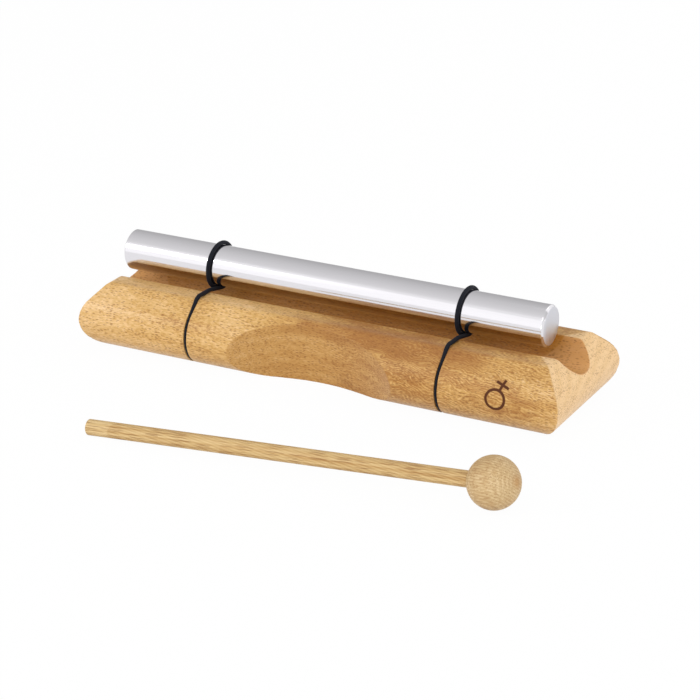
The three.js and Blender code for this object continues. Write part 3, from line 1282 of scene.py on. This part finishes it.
    def build(self, shared: SharedGroups) -> Thing:
        """Builds the base's surface in place of the CAD block.

        Args:
            shared: the shared shader groups.

        Returns:
            The piece.
        """
        vertices, faces = SurfaceNet(self.distance, self._grid()).wrap()
        half_length, half_width = self.length / 2, self.width / 2
        vertices = np.clip(vertices, (-half_length, -half_width, 0), (half_length, half_width, self.height))
        made = mesh_object("moulded_wooden_base", vertices, faces, self.wood().material(shared), self.crease)
        return fit(made, "wooden_base", Slot.BASE_WOOD, Body.BASE)


# Tone bar.


@dataclass(frozen=True)
class ToneBar:
    """The solid metal rod that rings.

    Each round of the chamfer is given as places along X and outwards, in shares of edge_round.
    """

    diameter: float = 20.0
    length: float = 224.5
    chamfer: float = 0.9
    shift: float = -5.0
    axis_height: float = 41.8
    edge_round: float = 0.12
    inner_round: tuple[Pair, ...] = ((0.0, -1.0), (0.3, -0.1), (1.0, 0.6))
    outer_round: tuple[Pair, ...] = ((-1.0, -1.1), (0.0, -0.35), (1.0, 0.0), (3.0, 0.0))
    crease: float = math.radians(24)
    sides: int = 160
    rings: int = 20
    rings_reach: float = 0.95
    end_inset: float = 0.02

    def build(self, shared: SharedGroups) -> Thing:
        """Builds the rod with a rounded chamfer at each end.

        Args:
            shared: the shared shader groups.

        Returns:
            The piece.
        """
        radius, half, soft = self.diameter / 2, self.length / 2, self.edge_round
        lip = [(-half, 0.0), (-half, radius * HALF)]
        lip += [(-half + soft * x, radius - self.chamfer + soft * r) for x, r in self.inner_round]
        lip += [(-half + self.chamfer + soft * x, radius + soft * r) for x, r in self.outer_round]
        shares = np.linspace(-self.rings_reach, self.rings_reach, self.rings)
        profile = lip + [(half * share, radius) for share in shares] + [(-x, r) for x, r in reversed(lip)]
        vertices, faces = turned(profile, self.sides)
        centre = (self.shift, 0.0, self.axis_height)
        metal = PolishedMetal(half - self.end_inset, centre).material(shared)
        made = mesh_object("polished_tone_bar", vertices + np.array(centre), faces, metal, self.crease)
        return fit(made, "tone_bar", Slot.BAR_METAL, Body.BAR)


# Elastic cords.


@dataclass(frozen=True)
class Braid:
    """The braided sleeve's pattern: bumps round the cord and along it."""

    bumps_round: int = 8
    bump_length: float = 1.0
    relief: float = 0.09
    bulge: float = 0.8
    sides: int = 32
    step: float = 0.17

    def inputs(self) -> dict:
        """Gives the sleeve tree's inputs that the pattern sets, in metres."""
        return {"Sides": self.sides, "Step": self.step * MM, "Bumps round": float(self.bumps_round),
                "Bump length": self.bump_length * MM, "Relief": self.relief * MM}

    def tree(self) -> Tree:
        """Makes the geometry tree that turns a route into a braided cord.

        The route is a chain of edges whose points hold how far the cord is squeezed.

        Returns:
            The tree.
        """
        nodes, given = new_group(
            "braided sleeve", "GeometryNodeTree",
            {"Geometry": SocketKind.GEOMETRY, "Radius": MM, "Squeezed share": 0.5, **self.inputs(),
             "Material": SocketKind.MATERIAL},
            {"Geometry": SocketKind.GEOMETRY})
        chain = nodes.add("GeometryNodeMeshToCurve", {"Mesh": given["Geometry"]})[0]
        even = nodes.add("GeometryNodeResampleCurve", {"Curve": chain, "Length": given["Step"]},
                         mode="LENGTH")[0]
        path = nodes.add("GeometryNodeSetCurveNormal", {"Curve": even}, mode="MINIMUM_TWIST")[0]
        path, middle = capture(path, "middle", nodes.add("GeometryNodeInputPosition")[0])
        path, along = capture(path, "along", nodes.add("GeometryNodeSplineParameter")["Length"])
        squeeze = nodes.add("GeometryNodeInputNamedAttribute", {"Name": "squeeze"}, data_type="FLOAT")
        path, pinch = capture(path, "pinch", squeeze["Attribute"])
        ring = nodes.add("GeometryNodeCurvePrimitiveCircle",
                         {"Resolution": given["Sides"], "Radius": given["Radius"]}, mode="RADIUS")[0]
        ring, turn = capture(ring, "round", nodes.add("GeometryNodeSplineParameter")["Factor"])
        tube = nodes.add("GeometryNodeCurveToMesh",
                         {"Curve": path, "Profile Curve": ring, "Fill Caps": True})[0]

        around = turn * FULL * (given["Bumps round"] * HALF)
        slant = along / given["Bump length"] * math.pi
        crown = abs((around + slant).sine() * (around - slant).sine())
        lift = (crown - HALF) * given["Relief"]
        push = nodes.add("GeometryNodeInputNormal")[0].scaled(lift)
        raised = nodes.add("GeometryNodeSetPosition", {"Geometry": tube, "Offset": push})[0]

        pinched = pinch * (1.0 - given["Squeezed share"])
        tall = pinched.times_plus(self.bulge, 1.0)
        off = nodes.add("GeometryNodeInputPosition")[0] - middle
        pressed = middle + off * nodes.join(X=1.0 - pinched, Y=tall, Z=tall)
        squeezed = nodes.add("GeometryNodeSetPosition", {"Geometry": raised, "Position": pressed})[0]
        marked = nodes.add("GeometryNodeStoreNamedAttribute",
                           {"Geometry": squeezed, "Name": "crown", "Value": crown},
                           data_type="FLOAT", domain="POINT")[0]
        soft = nodes.add("GeometryNodeSetShadeSmooth", {"Geometry": marked})[0]
        plain = nodes.add("GeometryNodeRealizeInstances", {"Geometry": soft})[0]
        dressed = nodes.add("GeometryNodeSetMaterial", {"Geometry": plain, "Material": given["Material"]})[0]
        nodes.add("NodeGroupOutput", {"Geometry": dressed})
        return nodes.tree


def capture(geometry: Value, label: str, value: Value) -> tuple[Value, Value]:
    """Captures a field on a geometry's points.

    Args:
        geometry: the geometry.
        label: the captured field's name.
        value: the field.

    Returns:
        The geometry and the captured field.
    """
    held = geometry.nodes.add("GeometryNodeCaptureAttribute", domain="POINT")
    held.node.capture_items.new("VECTOR" if value.is_vector else "FLOAT", label)
    geometry.nodes.fill(held.node, {"Geometry": geometry, label: value})
    return held["Geometry"], held[label]


def set_inputs(modifier: bpy.types.Modifier, tree: Tree, values: dict) -> None:
    """Sets a geometry tree's inputs on its modifier by the sockets' identifiers.

    Args:
        modifier: the modifier that runs the tree.
        tree: the tree.
        values: a value for each input's name.
    """
    for item in tree.interface.items_tree:
        if item.item_type == "SOCKET" and item.in_out == "INPUT" and item.name in values:
            modifier[item.identifier] = values[item.name]


def middle_of(piece: Thing) -> Pair:
    """Gives the middle of a piece's points along X and Z, in metres."""
    places = np.array([v.co for v in piece.data.vertices])
    return float(places[:, 0].mean()), float(places[:, 2].mean())


def shares_of(steps: int) -> Array:
    """Gives the shares from 0 to 1 that follow each of some even steps."""
    return np.linspace(0, 1, steps + 1)[1:]


@dataclass(frozen=True)
class ElasticCord:
    """One elastic cord: up a saw cut, over a shoulder, round the bar and down again."""

    end: End
    base: WoodenBase
    bar: ToneBar
    braid: Braid = Braid()
    diameter: float = 2.0
    turn_pitch: float = 2.6
    turn_start: float = 0.3
    squeezed_width: float = 1.62
    clearance: float = 0.06
    knot_half: float = 3.2
    knot_clearance: float = 0.3
    knot_height: float = 2.9
    cut_depth: float = 1.15
    crest_depth: float = -0.1
    shoulder_offset: float = 0.55
    lip_offset: float = 0.95
    edge_steps: int = 24
    face_steps: int = 8
    crest_steps: int = 12
    turn_steps: int = 96

    @property
    def radius(self) -> float:
        """Half the cord's thickness."""
        return self.diameter / 2

    @property
    def turn_radius(self) -> float:
        """Distance from the bar's axis to the cord's middle."""
        return self.bar.diameter / 2 + self.radius + self.clearance

    def _half_route(self) -> list[tuple[float, ...]]:
        """Lays the stations from the knot to the channel's lip.

        Returns:
            Each station's span, height, squeeze and share of the turn's offset along the bar.
        """
        base, sides, lean = self.base, self.base.sides, self.base.side_lean
        inset, over = base.kerf_depth / 2, self.radius + self.clearance
        route = [(self.knot_half + self.knot_clearance, self.knot_height, 1.0, 0.0),
                 (base.pocket_radius, inset, 1.0, 0.0), (sides.edge[0], inset, 1.0, 0.0)]

        def station(centre: Pair, reach: float, angle: float, squeeze: float) -> None:
            """Adds a station at a reach and an angle from a centre."""
            place = centre[0] + reach * math.cos(angle), centre[1] + reach * math.sin(angle)
            route.append((*place, squeeze, 0.0))

        for share in shares_of(self.edge_steps):
            depth = inset + share * (self.cut_depth - inset)
            station(sides.edge, base.edge_radius - depth, -QUARTER + share * (lean + QUARTER), 1.0)
        for share in shares_of(self.face_steps):
            place = tuple(a + share * (b - a) for a, b in zip(sides.edge_out, sides.crest_out))
            depth = self.cut_depth + share * (self.crest_depth - self.cut_depth)
            station(place, -depth, lean, 1 - share)
        for share in shares_of(self.crest_steps):
            depth = self.crest_depth - share * (self.crest_depth + over)
            station(sides.crest, base.shoulder_radius - depth, lean + share * (QUARTER - lean), 0.0)
        top = base.height + over
        route.append(((sides.crest[0] + base.lip) / 2, top, 0.0, self.shoulder_offset))
        route.append((base.lip, top, 0.0, self.lip_offset))
        return route

    def _touch(self) -> float:
        """Finds the angle below the bar's middle plane at which the cord first meets the bar."""
        drop = self.bar.axis_height - self.base.height - self.radius - self.clearance
        return math.atan2(drop, self.base.lip) + math.acos(self.turn_radius / math.hypot(self.base.lip, drop))

    def stretches(self) -> dict[str, tuple[Array, Array]]:
        """Works out the cord's three stretches.

        Returns:
            Points and squeezes of the front leg, the turn round the bar and the back leg.
        """
        touch = self._touch()
        sweep = FULL + 2 * (QUARTER - touch)
        turn_end = self.turn_start - self.turn_pitch * sweep / FULL
        shares = np.linspace(0, 1, self.turn_steps + 1)
        angles = math.pi + touch + shares * sweep
        turn = np.stack([self.turn_start + shares * (turn_end - self.turn_start),
                         self.turn_radius * np.cos(angles),
                         self.bar.axis_height + self.turn_radius * np.sin(angles)], 1)
        span, height, squeeze, offset = np.array(self._half_route()).T
        front = np.vstack([np.stack([offset * self.turn_start, -span, height], 1), turn[:1]])
        back = np.vstack([np.stack([offset * turn_end, span, height], 1), turn[-1:]])[::-1]
        squeezes = np.append(squeeze, 0.0)
        place = np.array([self.end.value * self.base.kerf_place, 0, 0])
        return {"front": (front + place, squeezes), "turn": (turn + place, np.zeros(len(turn))),
                "back": (back + place, squeezes[::-1])}

    def build(self, material: Material, sleeve: Tree) -> list[Thing]:
        """Builds the cord's stretches.

        Args:
            material: the cord's material.
            sleeve: the geometry tree that sweeps and braids a stretch.

        Returns:
            The three pieces.
        """
        side = self.end.side
        made = []
        for label, stretch in self.stretches().items():
            piece = self._sweep(f"{side}_cord_{label}", *stretch, material, sleeve)
            made.append(fit(piece, f"{side}_cord", Slot.CORD))
        touch_span = self.turn_radius * math.cos(self._touch())
        for piece, sign in ((made[0], -1), (made[2], 1)):
            x, z = middle_of(piece)
            start, end = (x, sign * self.base.lip * MM, z), (x, sign * touch_span * MM, z)
            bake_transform(piece)
            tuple(start)
            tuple(end)
        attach(made[1], Body.LOOPS.value)
        return made

    def _sweep(self, name: str, points: Array, squeezes: Array, material: Material, sleeve: Tree) -> Thing:
        """Runs the sleeve tree on one stretch and bakes it into a plain mesh.

        Args:
            name: the piece's name.
            points: the stretch's route.
            squeezes: how far the cord is squeezed at each point, 0 to 1.
            material: the cord's material.
            sleeve: the geometry tree.

        Returns:
            The piece, without a modifier.
        """
        mesh = bpy.data.meshes.new(f"{name}_route")
        mesh.from_pydata((points * MM).tolist(), [(i, i + 1) for i in range(len(points) - 1)], [])
        attribute = mesh.attributes.new("squeeze", "FLOAT", "POINT")
        attribute.data.foreach_set("value", squeezes.astype(np.float32))
        route = linked(f"{name}_route", mesh)
        modifier = route.modifiers.new("sleeve", "NODES")
        modifier.node_group = sleeve
        set_inputs(modifier, sleeve, {
            "Radius": self.radius * MM, "Squeezed share": self.squeezed_width / self.diameter,
            **self.braid.inputs(), "Material": material})
        evaluated = route.evaluated_get(bpy.context.evaluated_depsgraph_get())
        baked = bpy.data.meshes.new_from_object(evaluated)
        baked.name = name
        bpy.data.objects.remove(route)
        return linked(name, baked)


@dataclass(frozen=True)
class CordKnot:
    """The knot that ties one cord's ends in its pocket under the base."""

    end: End
    cord: ElasticCord
    strand_radius: float = 0.85
    length: float = 6.4
    height: float = 4.6
    sides: int = 14
    steps: int = 150

    def build(self, material: Material) -> Thing:
        """Builds a drawn-up trefoil knot of cord.

        Args:
            material: the cord's material.

        Returns:
            The piece.
        """
        turn = np.linspace(0, FULL, self.steps, endpoint=False)
        path = np.stack([np.sin(3 * turn), np.sin(turn) + 2 * np.sin(2 * turn),
                         np.cos(turn) - 2 * np.cos(2 * turn)], 1)
        room = np.array([self.height, self.length, self.height]) / 2 - self.strand_radius
        path = path / np.abs(path).max(0) * room
        ahead = np.roll(path, -1, 0) - np.roll(path, 1, 0)
        ahead /= np.linalg.norm(ahead, axis=1, keepdims=True)
        side = np.cross(ahead, path)
        side /= np.linalg.norm(side, axis=1, keepdims=True)
        out = np.cross(side, ahead)
        angles = (np.arange(self.sides) / self.sides * FULL)[None, :, None]
        swing = np.cos(angles) * side[:, None] + np.sin(angles) * out[:, None]
        rings = path[:, None] + self.strand_radius * swing
        faces = []
        for i in range(self.steps):
            a, b = i * self.sides, (i + 1) % self.steps * self.sides
            for k in range(self.sides):
                n = (k + 1) % self.sides
                faces.append((a + k, a + n, b + n, b + k))
        place = np.array([self.end.value * self.cord.base.kerf_place, 0, self.cord.knot_height])
        made = mesh_object(f"{self.end.side}_tied_knot", rings.reshape(-1, 3) + place, faces, material)
        return fit(made, f"{self.end.side}_cord_knot", Slot.CORD, Body.BASE)


# Mallet.


@dataclass(frozen=True)
class Mallet:
    """The wooden ball on its dowel, lying on the table in front of the base."""

    head_diameter: float = 23.7
    stick_diameter: float = 7.4
    stick_rounding: float = 0.7
    reach: float = 194.5
    socket_depth: float = 14.0
    socket_chamfer: float = 0.5
    socket_clearance: float = 0.08
    stick_end_gap: float = 0.4
    head: Pair = (127.4, -105.9)
    turn: float = math.radians(4.64)
    head_grain: Triple = (0.0, math.radians(-16), math.radians(-7))
    stick_sides: int = 64
    stick_rings: int = 40
    stick_rings_inset: float = 0.02
    rounding_steps: int = 6
    ball_sides: int = 128
    ball_steps: int = 72
    roughness: float = 0.55
    varnish: float = 0.1

    @property
    def tip(self) -> float:
        """Angle by which the mallet leans down to its stick's end, about Y."""
        return -math.asin((self.head_diameter - self.stick_diameter) / 2 / self.reach)

    @property
    def centre(self) -> Triple:
        """Middle of the ball."""
        return (*self.head, self.head_diameter / 2)

    def build(self, shared: SharedGroups) -> list[Thing]:
        """Builds the stick and the drilled ball.

        Args:
            shared: the shared shader groups.

        Returns:
            The two pieces.
        """
        return [self._finish("mallet_dowel", self._stick(), self._stick_wood(), "mallet_stick", shared),
                self._finish("mallet_ball", self._ball(), self._ball_wood(), "mallet_head", shared)]

    def _finish(self, name: str, shape: tuple[Array, list], wood: Wood, node: str,
                shared: SharedGroups) -> Thing:
        """Tips and turns one piece, lays it on the table and dresses it.

        Args:
            name: the piece's name.
            shape: its vertices and faces, with the ball's middle at the origin.
            wood: its finish.
            node: the CAD node that it stands for.
            shared: the shared shader groups.

        Returns:
            The piece.
        """
        vertices, faces = shape
        lie = Matrix.Rotation(self.turn, 3, "Z") @ Matrix.Rotation(self.tip, 3, "Y")
        vertices = vertices @ np.array(lie).T + np.array(self.centre)
        made = mesh_object(name, vertices, faces, wood.material(shared))
        return fit(made, node, Slot.MALLET_WOOD, Body.MALLET)

    def _stick(self) -> tuple[Array, list]:
        """Turns the dowel, with both its edges rounded.

        Returns:
            Vertices and outward faces.
        """
        radius, soft = self.stick_diameter / 2, self.stick_rounding
        near = self.socket_depth - self.head_diameter / 2 - self.stick_end_gap
        steps = self.rounding_steps
        far_edge = arc((-self.reach + soft, radius - soft), soft, math.pi, QUARTER, steps)
        near_edge = arc((near - soft, radius - soft), soft, QUARTER, 0, steps)
        shares = np.linspace(self.stick_rings_inset, 1 - self.stick_rings_inset, self.stick_rings)
        middle = [(-self.reach + share * (self.reach + near), radius) for share in shares]
        rings = [(-self.reach, 0.0), (-self.reach, radius * HALF), *far_edge, *middle, *near_edge]
        return turned([*rings, (near, radius * HALF), (near, 0.0)], self.stick_sides)

    def _ball(self) -> tuple[Array, list]:
        """Turns the ball, drilled from its -X side, with a small chamfer at the hole's mouth.

        Returns:
            Vertices and outward faces.
        """
        radius = self.head_diameter / 2
        bore = self.stick_diameter / 2 + self.socket_clearance
        start = math.pi - math.asin((bore + self.socket_chamfer) / radius)
        mouth, bottom = radius * math.cos(start), self.socket_depth - radius
        outside = arc((0.0, 0.0), radius, start, 0.0, self.ball_steps)
        hole = [(bottom, 0.0), (bottom, bore * HALF), (bottom, bore), (mouth + self.socket_chamfer, bore)]
        return turned([*hole, *outside[:-1], (radius, 0.0)], self.ball_sides)

    def _stick_wood(self) -> Wood:
        """Gives the dowel's finish, long streaks along the stick.

        Returns:
            The finish.
        """
        figure = {"Pith": (0.0, 14.0, 20.0), "Ring width": 2.2, "Ring share": 0.15,
                  "Streak cells": (0.02, 1.6, 1.6), "Blotch share": 0.3, "Stain share": 0.4,
                  "Drift": 0.6, "Curl": 0.0, "Fleck cells": (0.09, 2.8, 2.8), "Fleck share": 0.8}
        return Wood("dowel wood", dark=linear(168, 128, 75), middle=linear(195, 163, 110),
                    pale=linear(213, 185, 135), stain=linear(172, 126, 70), fleck=linear(138, 96, 54),
                    figure=figure, roughness=self.roughness, varnish=self.varnish,
                    turn=(0.0, self.tip, self.turn), centre=self.centre)

    def _ball_wood(self) -> Wood:
        """Gives the ball's finish, rings round its own heart.

        Returns:
            The finish.
        """
        figure = {"Pith": ORIGIN, "Ring width": 1.7, "Ring share": 0.14, "Heart size": 4.5,
                  "Streak cells": (0.12, 1.4, 1.4), "Blotch share": 0.7, "Stain share": 0.2,
                  "Drift": 1.2, "Curl": 0.0, "Fleck cells": (0.5, 2.4, 2.4)}
        return Wood("ball wood", dark=linear(168, 132, 88), middle=linear(192, 163, 118),
                    pale=linear(211, 186, 144), stain=linear(176, 130, 72), fleck=linear(148, 108, 64),
                    figure=figure, roughness=self.roughness, varnish=self.varnish,
                    turn=self.head_grain, centre=self.centre)


# Studio.


def aimed(name: str, data: bpy.types.ID, place: Vector, way: Vector) -> Thing:
    """Sets up a camera or a lamp.

    Args:
        name: the object's name.
        data: the camera or the lamp.
        place: its place in millimetres.
        way: the direction in which it looks or shines.

    Returns:
        The object.
    """
    made = linked(name, data)
    made.location = place * MM
    made.rotation_mode = "QUATERNION"
    made.rotation_quaternion = way.to_track_quat("-Z", "Y")
    return made


@dataclass(frozen=True)
class Lamp:
    """A soft rectangular lamp that shines on the origin."""

    name: str
    place: Triple
    sides: Pair
    watts: float

    def hang(self) -> None:
        """Hangs the lamp at its place."""
        data = bpy.data.lights.new(self.name, "AREA")
        data.shape = "RECTANGLE"
        data.size, data.size_y = self.sides[0] * MM, self.sides[1] * MM
        data.energy = self.watts
        aimed(self.name, data, Vector(self.place), -Vector(self.place))


@dataclass(frozen=True)
class Studio:
    """Pale floor, soft light and the camera at the photograph's viewing angle."""

    look_at: Triple = (0.27, 6.26, 7.48)
    azimuth: float = math.radians(27.6)
    elevation: float = math.radians(22.26)
    distance: float = 1171.7
    lens: float = 124.8
    sensor: float = 36.0
    clip: Pair = (0.05, 50.0)
    floor_half: float = 4000.0
    floor_colour: Colour = (0.9, 0.9, 0.9, 1.0)
    floor_glow: float = 0.97
    white_below: float = math.radians(56)
    white_edge: float = 0.1
    ceiling_light: Pair = (0.85, 0.45)
    room_light: float = 0.68
    front_share: float = 0.6
    lamps: tuple[Lamp, ...] = (
        Lamp("front panel", (-430, -1020, 440), (1500, 850), 0.8),
        Lamp("high softbox", (-50, -780, 950), (340, 340), 1.3),
        Lamp("left softbox", (-900, -950, 700), (300, 300), 3.6),
        Lamp("low card", (560, -900, 120), (900, 220), 1.7),
        Lamp("rear softbox", (520, 880, 480), (1300, 800), 1.8),
        Lamp("top softbox", (230, 520, 980), (900, 900), 1.8),
        Lamp("end panel", (1000, 380, 260), (1200, 480), 2.8))

    def build(self) -> None:
        """Builds the camera, the floor, the world and the lamps."""
        self._camera()
        self._floor()
        self._world()
        for lamp in self.lamps:
            lamp.hang()
        bpy.context.scene.view_settings.view_transform = "Standard"

    def _camera(self) -> None:
        """Sets up the camera from its angles round the point that it looks at."""
        data = bpy.data.cameras.new("camera")
        data.lens, data.sensor_width = self.lens, self.sensor
        data.clip_start, data.clip_end = self.clip
        level = math.cos(self.elevation)
        back = Vector((math.sin(self.azimuth) * level, -math.cos(self.azimuth) * level,
                       math.sin(self.elevation)))
        place = Vector(self.look_at) + back * self.distance
        bpy.context.scene.camera = aimed("camera", data, place, -back)

    def _floor(self) -> None:
        """Lays a white floor that keeps a soft shadow."""
        made, nodes = new_material("white floor")
        paper = nodes.add("ShaderNodeBsdfDiffuse", {"Color": self.floor_colour})[0]
        glow = nodes.add("ShaderNodeEmission", {"Color": WHITE, "Strength": 1.0})[0]
        path = nodes.add("ShaderNodeLightPath")
        seen = path["Is Camera Ray"].larger(path["Is Glossy Ray"]).larger(path["Is Transmission Ray"])
        mixed = nodes.add("ShaderNodeMixShader", {0: seen * self.floor_glow, 1: paper, 2: glow})[0]
        nodes.add("ShaderNodeOutputMaterial", {"Surface": mixed})
        half = self.floor_half
        corners = np.array([(-half, -half, 0), (half, -half, 0), (half, half, 0), (-half, half, 0)])
        mesh_object("floor", corners, [(0, 1, 2, 3)], made)

    def _world(self) -> None:
        """Lights the object evenly: white in front and low, greyer overhead and behind."""
        world = bpy.data.worlds.new("studio")
        world.use_nodes = True
        nodes = Nodes(world.node_tree)
        _, y, up = nodes.add("ShaderNodeTexCoord")["Generated"].parts()
        forwards = y * -1.0
        angle = nodes.math("ARCTAN2", up, forwards)
        above = angle.span(self.white_below - self.white_edge, self.white_below + self.white_edge)
        ceiling = angle.span(self.white_below, math.pi, *self.ceiling_light, smooth=False)
        path = nodes.add("ShaderNodeLightPath")
        shown = above.times_plus(ceiling - 1.0, 1.0) * path["Is Glossy Ray"]
        clear = path["Is Camera Ray"].larger(path["Is Transmission Ray"])
        room = forwards.times_plus(self.room_light * self.front_share, self.room_light)
        level = shown.larger(clear).larger(room)
        back = nodes.add("ShaderNodeBackground", {"Color": WHITE, "Strength": level})[0]
        nodes.add("ShaderNodeOutputWorld", {"Surface": back})
        bpy.context.scene.world = world


# Assembly.


@dataclass(frozen=True)
class ChimeBar:
    """The whole instrument with its mallet."""

    base: WoodenBase = WoodenBase()
    bar: ToneBar = ToneBar()
    mallet: Mallet = Mallet()

    def build(self) -> list[Thing]:
        """Builds every piece with its finish.

        Returns:
            The pieces, in the order in which they are built.
        """
        shared = SharedGroups(WoodGrain().group(), handling_group())
        elastic, sleeve = BraidedElastic().material(), Braid().tree()
        made = [self.base.build(shared), self.bar.build(shared)]
        for end in End:
            cord = ElasticCord(end, self.base, self.bar)
            made += [*cord.build(elastic, sleeve), CordKnot(end, cord).build(elastic)]
        return made + self.mallet.build(shared)


def main() -> None:
    logging.basicConfig(level=logging.INFO, format="%(message)s")
    Studio().build()
    for piece in ChimeBar().build():
        log.info("%s: %d faces", piece.name, len(piece.data.polygons))
    bpy.context.view_layer.update()


if __name__ == "__main__":
    main()
